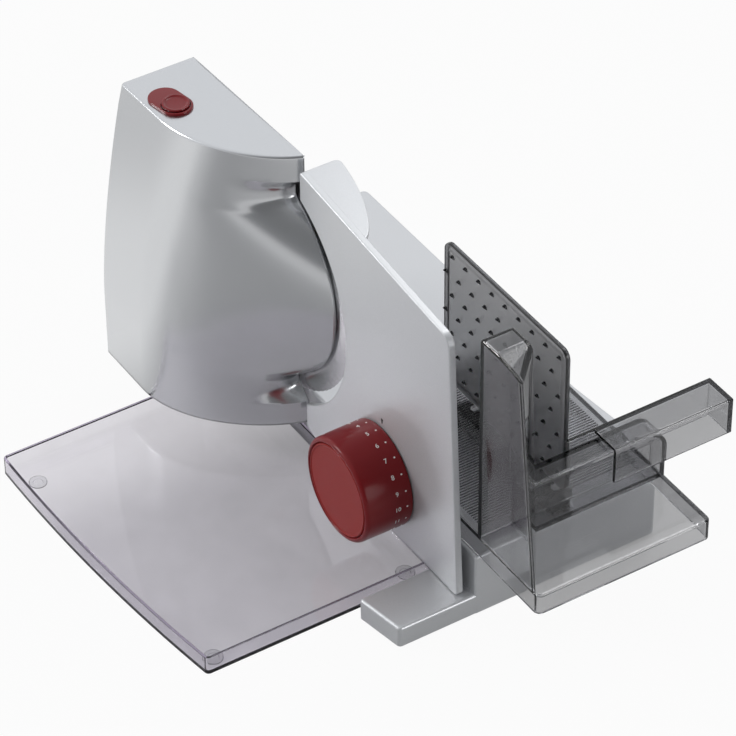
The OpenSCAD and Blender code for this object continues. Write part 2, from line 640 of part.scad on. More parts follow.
// Teeth in staggered rows, each leaning up as it stands out from the plate
spike_pitch = 13.4;
spike_row = 14;
function tooth_ring(r, out, rise) = [for (a = [0:45:315]) [-out, -r * cos(a), r * sin(a) + rise]];
module pusher_spikes() color(smoke) place() for (i = [0:8], j = [0:6])
    translate([pusher_x, pusher_y1 - 9.4 - spike_pitch * (i - (j % 2) / 2), pusher_top - 7 - spike_row * j])
        skin([tooth_ring(1.8, 0, 0), tooth_ring(0.3, 2.2, 1.4)]);

module pusher_arm() color(smoke) place() difference() {
    box([pusher_x, arm_y0, arm_z0], [arm_reach, arm_y1, arm_top]);
    box([pusher_x - 1, arm_y0 + clear_t, arm_z0 - 1],
        [arm_reach - clear_t, arm_y1 - clear_t, arm_top - clear_t]);
    box([pusher_x - 1, arm_y0 - 1, arm_z0 - 1], [pusher_x + 20, arm_y1 - clear_t, arm_top + 1]);
}

// Slice tray, with its outer side bowed in plan

tray_y0 = -173.5;
tray_y1 = 41;
tray_x1 = -0.6;
function tray_side(y) = -tray_reach + 14 * pow((12 - y) / 186, 2);
function tray_plan(w) = concat([[tray_x1 - w, tray_y0 + w], [tray_x1 - w, tray_y1 - w]],
    [for (k = [0:16]) let (y = tray_y1 - w + (tray_y0 - tray_y1 + 2 * w) * k / 16) [tray_side(y) + w, y]]);

module slice_tray() color(smoke) place() difference() {
    translate([0, 0, 1]) linear_extrude(height = tray_h - 1) polygon(tray_plan(0));
    translate([0, 0, 1 + tray_t]) linear_extrude(height = tray_h) polygon(tray_plan(tray_t));
}

tray_pad_at = [[-154, 22], [-143, -162], [-14, 22], [-14, -162]];
module tray_pads() color(smoke) place() for (p = tray_pad_at)
    translate([p[0], p[1], 0]) cylinder(h = 1, r = 5.5);

base_shell();
bottom_cover();
cover_screws();
rubber_feet();
carriage_rail();
guide_bushes();
cam_follower();
cord_gland();
terminal_block();
motor_housing();
gear_plate();
housing_screws();
shaft_bush();
motor_bracket();
bracket_screws();
motor_can();
motor_magnets();
motor_end_bell();
brush_holders();
worm_bush();
switch_bezel();
microswitch();
blade();
blade_hub();
blade_shaft();
worm_wheel();
shaft_circlip();
blade_lock();
rotor_shaft();
worm();
armature();
commutator();
stop_plate();
guide_rods();
knob_axle();
axle_screw();
knob();
knob_face();
cam_drum();
carriage();
thumb_guard();
carriage_runner();
runner_screws();
pusher_plate();
pusher_spikes();
pusher_arm();
slice_tray();
tray_pads();
switch_button();
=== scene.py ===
import json
import math

import bmesh
import bpy
import numpy as np
from mathutils import Matrix, Vector


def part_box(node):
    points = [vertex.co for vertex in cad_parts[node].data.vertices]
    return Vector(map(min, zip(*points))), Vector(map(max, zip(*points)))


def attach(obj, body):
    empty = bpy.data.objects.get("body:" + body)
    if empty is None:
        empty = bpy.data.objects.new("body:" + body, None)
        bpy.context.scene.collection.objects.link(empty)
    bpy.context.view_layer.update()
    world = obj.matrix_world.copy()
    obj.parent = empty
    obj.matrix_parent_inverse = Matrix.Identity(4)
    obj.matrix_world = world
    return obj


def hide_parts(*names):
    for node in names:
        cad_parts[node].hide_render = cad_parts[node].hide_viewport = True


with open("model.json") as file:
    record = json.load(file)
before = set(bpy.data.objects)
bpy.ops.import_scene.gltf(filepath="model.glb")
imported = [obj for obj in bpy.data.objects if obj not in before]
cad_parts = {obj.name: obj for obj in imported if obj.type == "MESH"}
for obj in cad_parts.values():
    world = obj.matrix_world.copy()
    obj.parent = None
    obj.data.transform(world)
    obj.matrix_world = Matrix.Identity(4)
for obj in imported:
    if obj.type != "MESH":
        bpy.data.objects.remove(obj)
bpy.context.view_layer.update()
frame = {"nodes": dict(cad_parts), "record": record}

# Working units are millimetres: x from the cutting plane, y from the blade axis, z from the table
bladeLow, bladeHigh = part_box("blade")
cutPlaneX = bladeHigh.x
bladeAxisY = (bladeLow.y + bladeHigh.y) / 2
bladeAxisZ = 1000 * (bladeLow.z + bladeHigh.z) / 2
bladeRadius = 500 * (bladeHigh.z - bladeLow.z)
workOrigin = np.array([cutPlaneX, bladeAxisY, 0.0])


def toFrame(points):  # working millimetres to metres in the frame
    return np.asarray(points, float) / 1000 + workOrigin


# Mesh tools
meshing = {
    "merge": 2e-6, "collapse": 1e-7,  # metres
    "bevelSteps": 3, "bevelAngle": 50, "flatAngle": 1, "flatWeight": 80,
}


def addObject(name, data):
    thing = bpy.data.objects.new(name, data)
    bpy.context.scene.collection.objects.link(thing)
    return thing


def gridFaces(rows, cols, wrapRows=False, wrapCols=False):
    # the four corners of every cell in a grid of points, rows first
    i, j = np.meshgrid(np.arange(rows - (not wrapRows)), np.arange(cols - (not wrapCols)), indexing="ij")
    i2, j2 = (i + 1) % rows, (j + 1) % cols
    return np.stack([i * cols + j, i * cols + j2, i2 * cols + j2, i2 * cols + j], -1).reshape(-1, 4).tolist()


def tubeFaces(rows, cols):
    # the sides of a stack of rings, and the caps at its two ends
    first = list(range(cols))
    last = list(range((rows - 1) * cols, rows * cols))
    return gridFaces(rows, cols, wrapCols=True) + [first[::-1], last]


def joinParts(parts):
    # several (points, faces) pairs as one pair
    points, faces, start = [], [], 0
    for partPoints, partFaces in parts:
        points.append(partPoints)
        faces += [[start + v for v in face] for face in partFaces]
        start += len(partPoints)
    return np.concatenate(points), faces


def newShape(part, inward=False):
    # a merged mesh of a part, with all its faces turned outwards, or inwards for the wall of a hollow
    points, faces = part
    mesh = bpy.data.meshes.new("part")
    mesh.from_pydata(toFrame(points).tolist(), [], faces)
    shape = bmesh.new()
    shape.from_mesh(mesh)
    bpy.data.meshes.remove(mesh)
    bmesh.ops.remove_doubles(shape, verts=shape.verts, dist=meshing["merge"])
    bmesh.ops.dissolve_degenerate(shape, edges=shape.edges, dist=meshing["collapse"])
    bmesh.ops.recalc_face_normals(shape, faces=shape.faces)
    if inward:
        bmesh.ops.reverse_faces(shape, faces=shape.faces)
    return shape


def finishPiece(name, shape, body, slotName, replaced, finish=None, wall=0, bevel=0, sharpAngle=35):
    # puts a shape into the scene: sharp edges, wall, rounded edges, even shading on its flats, body and slot;
    # its finish is the slot's own unless another is named
    mesh = bpy.data.meshes.new(name)
    shape.to_mesh(mesh)
    shape.free()
    mesh.shade_smooth()
    mesh.set_sharp_from_angle(angle=math.radians(sharpAngle))
    piece = addObject(name, mesh)
    if wall:
        solid = piece.modifiers.new("wall", "SOLIDIFY")
        solid.thickness = wall / 1000
        solid.offset = -1
    if bevel:
        edge = piece.modifiers.new("edge", "BEVEL")
        edge.width = bevel / 1000
        edge.segments = meshing["bevelSteps"]
        edge.limit_method = "ANGLE"
        edge.angle_limit = math.radians(meshing["bevelAngle"])
    flats = piece.modifiers.new("flats", "WEIGHTED_NORMAL")
    flats.keep_sharp = True
    flats.weight = meshing["flatWeight"]
    mesh.materials.append(finishes[finish or slotName])
    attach(piece, body)
    if replaced:
        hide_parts(*replaced)


def makePiece(name, part, body, slotName, replaced=(), finish=None, wall=0, hollow=None, sharpAngle=35):
    # a piece from points and faces: closed, perhaps with a hollow inside, or an open sheet with a wall
    shape = newShape(part)
    if wall:  # an open sheet faces away from its own middle
        middle = sum((v.co for v in shape.verts), Vector()) / len(shape.verts)
        outward = sum(f.normal.dot(f.calc_center_median() - middle) * f.calc_area() for f in shape.faces)
        if outward < 0:
            bmesh.ops.reverse_faces(shape, faces=shape.faces)
    if hollow:
        inside = newShape(hollow, inward=True)
        mesh = bpy.data.meshes.new("hollow")
        inside.to_mesh(mesh)
        inside.free()
        shape.from_mesh(mesh)
        bpy.data.meshes.remove(mesh)
    finishPiece(name, shape, body, slotName, replaced, finish, wall, sharpAngle=sharpAngle)


def roundedCopy(name, node, body, slotName, bevel):
    # the CAD node's own shape, merged to flat faces, with its edges rounded
    shape = bmesh.new()
    shape.from_mesh(frame["nodes"][node].data)
    bmesh.ops.remove_doubles(shape, verts=shape.verts, dist=meshing["merge"])
    flat = math.radians(meshing["flatAngle"])
    bmesh.ops.dissolve_limit(shape, angle_limit=flat, verts=shape.verts, edges=shape.edges)
    finishPiece(name, shape, body, slotName, [node], bevel=bevel)


# Outlines and sections

def arcPoints(centre, radius, first, last, steps):
    # points on an arc from one angle to another, in degrees
    angle = np.radians(np.linspace(first, last, steps))
    return np.stack([centre[0] + radius * np.cos(angle), centre[1] + radius * np.sin(angle)], -1)


def tidyOutline(points):
    # drops points that repeat the one before
    gap = np.linalg.norm(points - np.roll(points, 1, 0), axis=1)
    return points[gap > 1e-4]


def roundCorners(corners, radii, steps):
    # a closed outline whose corners are arcs: each arc touches both sides at radius * tan(half the turn)
    corners = np.asarray(corners, float)
    radii = np.broadcast_to(np.asarray(radii, float), len(corners))
    into = corners - np.roll(corners, 1, 0)
    into /= np.linalg.norm(into, axis=1, keepdims=True)
    away = np.roll(into, -1, 0)
    turn = np.arctan2(into[:, 0] * away[:, 1] - into[:, 1] * away[:, 0], (into * away).sum(1))
    reach = radii * np.tan(np.abs(turn) / 2)
    start = corners - into * reach[:, None]
    side = np.sign(turn)[:, None] * np.stack([-into[:, 1], into[:, 0]], -1)
    centre = start + side * radii[:, None]
    angle = turn[:, None] * np.linspace(0, 1, steps)[None, :]
    spoke = -side * radii[:, None]
    cos, sin = np.cos(angle), np.sin(angle)
    arcs = np.stack([cos * spoke[:, :1] - sin * spoke[:, 1:], sin * spoke[:, :1] + cos * spoke[:, 1:]], -1)
    return tidyOutline((centre[:, None, :] + arcs).reshape(-1, 2))


def boxCorners(low, high):  # the corners of a rectangle, from its lowest corner on
    return [(low[0], low[1]), (high[0], low[1]), (high[0], high[1]), (low[0], high[1])]


def outwardNormals(outline):
    # the mean of the two sides' normals at each point of a closed outline
    ahead = np.roll(outline, -1, 0) - outline
    ahead /= np.linalg.norm(ahead, axis=1, keepdims=True)
    mean = ahead + np.roll(ahead, 1, 0)
    mean /= np.linalg.norm(mean, axis=1, keepdims=True)
    area = np.sum(outline[:, 0] * np.roll(outline[:, 1], -1) - outline[:, 1] * np.roll(outline[:, 0], -1))
    return np.sign(area) * np.stack([mean[:, 1], -mean[:, 0]], -1)


def ringSolid(outline, profile, place):
    # an outline swept through (inset, level) pairs: each pair is one ring, and the ends are capped
    outline = np.asarray(outline, float)
    profile = np.asarray(profile, float)
    rings = outline[None] - profile[:, :1, None] * outwardNormals(outline)[None]
    level = np.broadcast_to(profile[:, 1, None], rings.shape[:2])
    points = place(rings[..., 0], rings[..., 1], level)
    return points.reshape(-1, 3), tubeFaces(len(profile), len(outline))


def lathe(profile, place, around, wave=None):
    # (radius, level) pairs turned once round an axis; a radius of zero is a pole
    profile = np.asarray(profile, float)
    angle = np.linspace(0, 2 * np.pi, around, endpoint=False)
    radius = np.broadcast_to(profile[:, :1], (len(profile), around))
    if wave is not None:
        radius = radius + wave(profile[:, :1], angle[None])
    level = np.broadcast_to(profile[:, 1:2], radius.shape)
    points = place(radius * np.cos(angle), radius * np.sin(angle), level)
    return points.reshape(-1, 3), gridFaces(len(profile), around, wrapCols=True)


def roundedTop(edge, high, steps):
    # (inset, level) pairs round an upper edge, from the side to the top
    return [(edge - a, high - edge + b) for a, b in arcPoints((0, 0), edge, 0, 90, steps)]


def lidProfile(low, high, wall, edge):
    # the section of a thin lid: from its ceiling out and down inside, then up outside and round the top edge;
    # the inner corner has a small fillet, and both lower edges are cut off at a slant
    ceiling, slant = high - wall, 0.3
    fillet = [(wall + 1.2, ceiling), (wall + 0.3, ceiling - 0.1), (wall, ceiling - 0.5)]
    foot = [(wall, low + slant), (wall - slant, low), (slant, low), (0, low + slant)]
    return fillet + foot + [(0, (low + high) / 2)] + roundedTop(edge, high, 6) + [(edge + 0.5, high)]


def along(axis, centre=(0, 0)):
    # places an outline about a centre in the two other axes, with its levels along the named one
    def place(a, b, level):
        parts = [centre[0] + a, centre[1] + b]
        parts.insert("xyz".index(axis), level)
        return np.stack(parts, -1)

    return place


# Finishes
grain = {"roughness": 0.55, "contrast": (0.3, 0.7), "depth": 0.0002}
grinding = {"scale": 2600.0, "detail": 3.0, "roughness": 0.6, "contrast": (0, 1), "relief": 0.06,
            "depth": 0.0001}


def setSocket(tree, socket, value):  # another node's output is linked, any other value is set
    if isinstance(value, bpy.types.NodeSocket):
        tree.links.new(value, socket)
    else:
        socket.default_value = value


def setInputs(tree, node, **values):  # an underscore in a name stands for a space
    for name, value in values.items():
        setSocket(tree, node.inputs[name.replace("_", " ")], value)


def addNode(tree, kind, **values):
    node = tree.nodes.new("ShaderNode" + kind)
    setInputs(tree, node, **values)
    return node


def addMath(tree, operation, *values):
    node = addNode(tree, "Math")
    node.operation = operation
    for socket, value in zip(node.inputs, values):
        setSocket(tree, socket, value)
    return node.outputs["Value"]


def mixShaders(tree, share, first, second):
    mix = addNode(tree, "MixShader")
    for socket, value in zip(mix.inputs, (share, first, second)):
        tree.links.new(value, socket)
    return mix.outputs["Shader"]


def newFinish(name, **values):
    finish = bpy.data.materials.new(name)
    finish.use_nodes = True
    tree = finish.node_tree
    shader = tree.nodes["Principled BSDF"]
    setInputs(tree, shader, **values)
    return finish, tree, shader


def spreadNoise(tree, shader, noise, kind, tone, rough, bump):
    # a noise value varies the tone between two colours, the roughness and the surface
    ramp = addNode(tree, "ValToRGB", Fac=noise)
    for stop, position, colour in zip(ramp.color_ramp.elements, kind["contrast"], tone):
        stop.position = position
        stop.color = (*colour, 1)
    spread = addNode(tree, "MapRange", Value=noise, To_Min=rough[0], To_Max=rough[1])
    setInputs(tree, shader, Base_Color=ramp.outputs["Color"], Roughness=spread.outputs["Result"])
    if bump:
        relief = addNode(tree, "Bump", Height=noise, Strength=bump, Distance=kind["depth"])
        setInputs(tree, shader, Normal=relief.outputs["Normal"])


def addGrain(tree, shader, scale, detail, tone, rough, bump=0, stretch=(1, 1, 1)):
    # fine noise on Object coordinates
    coords = addNode(tree, "TexCoord")
    mapping = addNode(tree, "Mapping", Vector=coords.outputs["Object"], Scale=stretch)
    noise = addNode(tree, "TexNoise", Vector=mapping.outputs["Vector"], Scale=scale, Detail=detail,
                    Roughness=grain["roughness"])
    spreadNoise(tree, shader, noise.outputs["Fac"], grain, tone, rough, bump)


def grainedFinish(name, dark, light, rough, scale, bump, stretch=(1, 1, 1), detail=3, **values):
    finish, tree, shader = newFinish(name, **values)
    addGrain(tree, shader, scale, detail, (dark, light), rough, bump, stretch)
    return finish


def silverPaintFinish(name, metallic, rough):
    return grainedFinish(name, (0.575, 0.585, 0.6), (0.635, 0.645, 0.66), rough, 2200, 0.015, detail=2,
                         Metallic=metallic, Coat_Weight=0.1, Coat_Roughness=0.2)


def redPlasticFinish(name, coat, coatRough):
    return grainedFinish(name, (0.17, 0.005, 0.0075), (0.19, 0.006, 0.0085), (0.28, 0.33), 2500, 0.01,
                         detail=2, Coat_Weight=coat, Coat_Roughness=coatRough, Specular_IOR_Level=0.15)


def clearFinish(name, tint, density, behind, rough=(0.03, 0.07)):
    # tinted clear plastic: the tint deepens with the way through it, and lamps shine through at a plain share
    finish, tree, shader = newFinish(name, Transmission_Weight=1.0, IOR=1.45)
    addGrain(tree, shader, 40, 2, ((0.93, 0.93, 0.935), (0.97, 0.97, 0.975)), rough)
    depth = addNode(tree, "VolumeAbsorption", Color=(*tint, 1), Density=density)
    path = addNode(tree, "LightPath")
    through = addNode(tree, "BsdfTransparent", Color=(*behind, 1))
    surface = mixShaders(tree, path.outputs["Is Shadow Ray"], shader.outputs["BSDF"], through.outputs["BSDF"])
    setInputs(tree, tree.nodes["Material Output"], Surface=surface, Volume=depth.outputs["Volume"])
    return finish


def groundSteelFinish():
    # circular grinding: noise that reads only the distance from the blade's middle
    finish, tree, shader = newFinish("groundSteel", Metallic=1.0, Anisotropic=0.5)
    coords = addNode(tree, "TexCoord")
    middle = (-cutPlaneX, -bladeAxisY, -bladeAxisZ / 1000)
    centre = addNode(tree, "Mapping", Vector=coords.outputs["Object"], Location=middle)
    distance = addNode(tree, "VectorMath", Vector=centre.outputs["Vector"])
    distance.operation = "LENGTH"
    rings = addNode(tree, "TexNoise", Scale=grinding["scale"], Detail=grinding["detail"],
                    Roughness=grinding["roughness"])
    rings.noise_dimensions = "1D"
    setInputs(tree, rings, W=distance.outputs["Value"])
    tone = (0.6, 0.6, 0.61), (0.78, 0.78, 0.79)
    spreadNoise(tree, shader, rings.outputs["Fac"], grinding, tone, (0.14, 0.26), grinding["relief"])
    return finish


finishes = {
    # one for each slot of the record
    "silver_paint": silverPaintFinish("silverPaint", 0.45, (0.33, 0.38)),
    "smoke_plastic": clearFinish("smokePlastic", (0.3, 0.3, 0.315), 150.0, (0.8, 0.8, 0.81)),
    "tray_plastic": clearFinish("trayPlastic", (0.4, 0.26, 0.54), 55.0, (0.9, 0.89, 0.91)),
    "red_plastic": redPlasticFinish("redPlastic", 0.2, 0.12),
    "blade_steel": groundSteelFinish(),
    "bright_steel": grainedFinish(
        "turnedSteel", (0.55, 0.55, 0.56), (0.7, 0.7, 0.71), (0.22, 0.34), 300, 0.05, (1, 1, 6),
        Metallic=1.0),
    "black_plastic": grainedFinish(
        "blackPlastic", (0.012, 0.012, 0.013), (0.022, 0.022, 0.024), (0.4, 0.55), 900, 0.15),
    "white_plastic": grainedFinish(
        "whitePlastic", (0.68, 0.67, 0.62), (0.76, 0.75, 0.7), (0.38, 0.5), 600, 0.08),
    "bronze": grainedFinish(
        "sinterBronze", (0.36, 0.24, 0.1), (0.48, 0.33, 0.16), (0.4, 0.55), 1500, 0.2, Metallic=0.9),
    "copper": grainedFinish(
        "copperWire", (0.5, 0.22, 0.11), (0.66, 0.32, 0.18), (0.25, 0.4), 800, 0.1, Metallic=1.0),
    "rubber": grainedFinish(
        "rubberFoot", (0.018, 0.018, 0.018), (0.035, 0.035, 0.036), (0.7, 0.85), 1200, 0.25),
    # others that single pieces wear
    "dialFace": grainedFinish(
        "dialFace", (0.24, 0.017, 0.014), (0.26, 0.019, 0.016), (0.36, 0.42), 2500, 0.01, detail=2,
        Specular_IOR_Level=0.15),
    "printWhite": grainedFinish(
        "printWhite", (0.78, 0.76, 0.74), (0.86, 0.85, 0.83), (0.5, 0.6), 1200, 0.03),
    "printBlack": grainedFinish(
        "printBlack", (0.015, 0.015, 0.016), (0.03, 0.03, 0.03), (0.5, 0.6), 1200, 0.03),
    "glossPaint": silverPaintFinish("glossPaint", 0.95, (0.18, 0.22)),
    "glossRed": redPlasticFinish("glossRed", 0.5, 0.05),
    "deepSmoke": clearFinish("deepSmoke", (0.3, 0.3, 0.31), 450.0, (0.6, 0.6, 0.61), (0.26, 0.34)),
    "spikeSmoke": clearFinish("spikeSmoke", (0.3, 0.3, 0.31), 1500.0, (0.4, 0.4, 0.41), (0.1, 0.16)),
}
print("finishes made:", len(finishes))

# Camera at the photograph's viewing point, read from the picture's parallel edges
view = {
    "place": (-937.1, -1587.5, 1572.6),  # working millimetres
    "azimuth": -32.24, "elevation": 39.85, "roll": -0.47,  # degrees
    "lens": 195.65,  # millimetres, on the usual sensor of 36
}


def makeCamera():
    lensData = bpy.data.cameras.new("photoView")
    lensData.lens = view["lens"]
    camera = addObject("photoView", lensData)
    place = Matrix.Translation(toFrame(view["place"]))
    for angle, axis in ((view["azimuth"], "Z"), (90 - view["elevation"], "X"), (view["roll"], "Z")):
        place = place @ Matrix.Rotation(math.radians(angle), 4, axis)
    camera.matrix_world = place
    bpy.context.scene.camera = camera


makeCamera()

# Studio: a white floor, a pale world that is darker in front, and soft lamps
studio = {
    "floorSize": 8.0, "floorTone": 0.38, "floorRoughness": 0.7,
    "floorWhite": (0.95, 0.24),  # share of plain white to the eye, and added through clear plastic
    "mirrorByY": (  # place on the floor from front to back, and its share of plain white in mirrors
        (-0.35, 0.6), (-0.13, 0.15), (-0.05, 0.05), (0.03, 0.07),
        (0.12, 0.45), (0.2, 1.0), (0.3, 1.0), (0.5, 0.55)),
    "skyTone": (0.96, 0.975, 1),
    "skyByX": (-0.9, 0.6, 0.95, 1.05),  # slice side to food side: range of direction, then strengths
    "skyByY": (-0.8, 0.3, 0.2, 0.95),  # front to back
    "lamps": (  # name, place, aim, size, watts
        ("backLeft", (-1.15, 0.95, 0.8), (0, 0, 0.1), 0.45, 9),
        ("backRight", (0.75, 0.4, 1.45), (0, -0.05, 0.08), 0.6, 3.5),
        ("frontLow", (0.62, -1.35, 0.42), (0, -0.15, 0.05), 0.6, 6.5),
    ),
}


def mirrorShare(tree):
    # what mirrors see of the white, by the place along y: little of it under the object, most of it behind
    stops = studio["mirrorByY"]
    first, last = stops[0][0], stops[-1][0]
    coords = addNode(tree, "TexCoord")
    split = addNode(tree, "SeparateXYZ", Vector=coords.outputs["Object"])
    place = addNode(tree, "MapRange", Value=split.outputs["Y"], From_Min=first, From_Max=last)
    ramp = addNode(tree, "ValToRGB", Fac=place.outputs["Result"])
    ramp.color_ramp.interpolation = "EASE"
    for y, _ in stops[1:-1]:
        ramp.color_ramp.elements.new((y - first) / (last - first))
    for stop, (_, share) in zip(ramp.color_ramp.elements, stops):
        stop.color = (share, share, share, 1)
    return ramp.outputs["Color"]


def floorGlow(tree):
    # share of plain white: the sum of each kind of ray's own share
    path = addNode(tree, "LightPath")
    toEye, throughClear = studio["floorWhite"]
    shares = {"Camera": toEye, "Transmission": throughClear, "Glossy": mirrorShare(tree)}
    total = 0
    for kind, share in shares.items():
        total = addMath(tree, "MULTIPLY_ADD", path.outputs["Is " + kind + " Ray"], share, total)
    return total


def makeFloor():
    half = studio["floorSize"] / 2
    mesh = bpy.data.meshes.new("floor")
    mesh.from_pydata([(x, y, 0) for x, y in boxCorners((-half, -half), (half, half))], [], [(0, 1, 2, 3)])
    floor = addObject("floor", mesh)
    tone, rough = studio["floorTone"], studio["floorRoughness"]
    finish, tree, shader = newFinish("floorWhite", Base_Color=(tone, tone, tone, 1), Roughness=rough)
    glow = addNode(tree, "Emission", Color=(1, 1, 1, 1), Strength=1.0)
    surface = mixShaders(tree, floorGlow(tree), shader.outputs["BSDF"], glow.outputs["Emission"])
    setInputs(tree, tree.nodes["Material Output"], Surface=surface)
    mesh.materials.append(finish)


def skyStrength(sky):
    # the product of two smooth steps, one along x and one along y, of the direction looked in
    coords = addNode(sky, "TexCoord")
    split = addNode(sky, "SeparateXYZ", Vector=coords.outputs["Generated"])
    steps = []
    for axis, (start, end, weak, strong) in (("X", studio["skyByX"]), ("Y", studio["skyByY"])):
        step = addNode(sky, "MapRange", Value=split.outputs[axis], From_Min=start, From_Max=end,
                       To_Min=weak, To_Max=strong)
        step.interpolation_type = "SMOOTHSTEP"
        steps.append(step.outputs["Result"])
    return addMath(sky, "MULTIPLY", *steps)


def makeWorld():
    world = bpy.data.worlds.new("studio")
    world.use_nodes = True
    bpy.context.scene.world = world
    sky = world.node_tree
    pale = sky.nodes["Background"]
    setInputs(sky, pale, Color=(*studio["skyTone"], 1), Strength=skyStrength(sky))
    white = addNode(sky, "Background", Color=(1, 1, 1, 1), Strength=1.0)
    toEye = addNode(sky, "LightPath").outputs["Is Camera Ray"]
    surface = mixShaders(sky, toEye, pale.outputs["Background"], white.outputs["Background"])
    setInputs(sky, sky.nodes["World Output"], Surface=surface)


def makeLamps():
    for name, place, aim, size, watts in studio["lamps"]:
        lamp = bpy.data.lights.new(name, "AREA")
        lamp.size = size
        lamp.energy = watts
        lampObject = addObject(name, lamp)
        lampObject.location = place
        lampObject.rotation_euler = (Vector(aim) - Vector(place)).to_track_quat("-Z", "Y").to_euler()


makeFloor()
makeWorld()
makeLamps()
bpy.context.scene.view_settings.view_transform = "Standard"
print("camera and studio set")

# Motor tower
tower = {
    "foot": 24.0, "top": 216.0, "rise": 5.0,  # the top climbs by the rise from back to front
    "back": 83.0, "front": 41.0, "bladeSide": -3.0,
    "topWidth": 52.0, "lowWidth": 71.5,
    "leanFrom": 70.0, "leanPower": 1.6,  # height from which the left side leans in, and how sharply
    "domeRadius": 72.0, "groove": 31.0,  # front ends of the dome and of the grooves above and below it
    "creases": (40.0, 48.0, 196.0, 203.0),  # lower lip, grooves from and to, upper lip
    "soften": 2.5,
    "domeSpread": (57.0, 1.6), "grooveSpread": (36.0, 1.2),  # reach from the blade side, and fading power
    "sideStart": 39.0,  # where the left side starts to curve round to the front
    "sideHandle": 0.5, "frontHandle": (0.42, 0.1),  # the curve's inner handles, as shares of its size
    "corner": 3.0, "edge": 2.0, "wall": 2.4, "sharpAngle": 28,
}


def towerFront(z):
    # front end of the plan curve at the blade side: a lip, a groove or the dome's circle, as a mean over
    # nearby heights that softens the bends; the lips' own creases stay sharp
    lowLip, lowGroove, highGroove, highLip = tower["creases"]
    near = np.clip(np.minimum(z - lowLip, highLip - z), 0, tower["soften"])
    total = 0
    steps = np.linspace(-1, 1, 11)
    for step in steps:
        h = z + step * near
        fromLow = np.clip((h - lowLip) / (lowGroove - lowLip), 0, 1)
        fromHigh = np.clip((highLip - h) / (highLip - highGroove), 0, 1)
        sink = fromLow * fromHigh
        dome = np.sqrt(np.maximum(0, tower["domeRadius"] ** 2 - (h - bladeAxisZ) ** 2))
        total = total + np.maximum(tower["front"] + (tower["groove"] - tower["front"]) * sink, dome)
    return total / len(steps)


def towerPlan(z):
    # plan curve at each height: straight back, back corner arc, straight left side, then a cubic curve
    # round to the blade side, where it swells out to the dome or sinks into a groove above and below it
    lean = np.maximum(0, (z - tower["leanFrom"]) / (tower["top"] - tower["leanFrom"])) ** tower["leanPower"]
    left = -tower["lowWidth"] + (tower["lowWidth"] - tower["topWidth"]) * lean
    right, back, corner, begin = tower["bladeSide"], tower["back"], tower["corner"], tower["sideStart"]
    s = np.linspace(0, 1, 10)[None]
    backX = right + (left + corner - right) * s
    backY = back + 0 * backX
    angle = np.radians(np.linspace(90, 180, 8))[None]
    arcX = left + corner + corner * np.cos(angle)
    arcY = back - corner + corner * np.sin(angle) + 0 * left
    sideX = left + 0 * s
    sideY = back - corner + (begin - back + corner) * s + 0 * left
    t = np.linspace(0, 1, 90)[None]
    reach, wide = begin + tower["front"], right - left
    across, ahead = tower["frontHandle"]
    handles = (
        (left, begin),
        (left, begin - reach * tower["sideHandle"]),
        (right - wide * across, reach * ahead - tower["front"]),
        (right, -tower["front"]),
    )
    weights = ((1 - t) ** 3, 3 * t * (1 - t) ** 2, 3 * t * t * (1 - t), t ** 3)
    curveX = sum(w * h[0] for w, h in zip(weights, handles))
    curveY = sum(w * h[1] for w, h in zip(weights, handles)) + 0 * left
    out = towerFront(z) - tower["front"]
    swell, hollow = (np.maximum(out, 0), tower["domeSpread"]), (np.minimum(out, 0), tower["grooveSpread"])
    for part, (spread, power) in (swell, hollow):
        curveY = curveY - part * np.maximum(0, 1 + (curveX - right) / spread) ** power
    x = np.concatenate([backX, arcX[:, 1:], sideX[:, 1:], curveX[:, 1:]], 1)
    y = np.concatenate([backY, arcY[:, 1:], sideY[:, 1:], curveY[:, 1:]], 1)
    return x, y


def towerRoof(y):  # height of the sloping top
    return tower["top"] + tower["rise"] * (tower["back"] - y) / (tower["back"] + tower["front"])


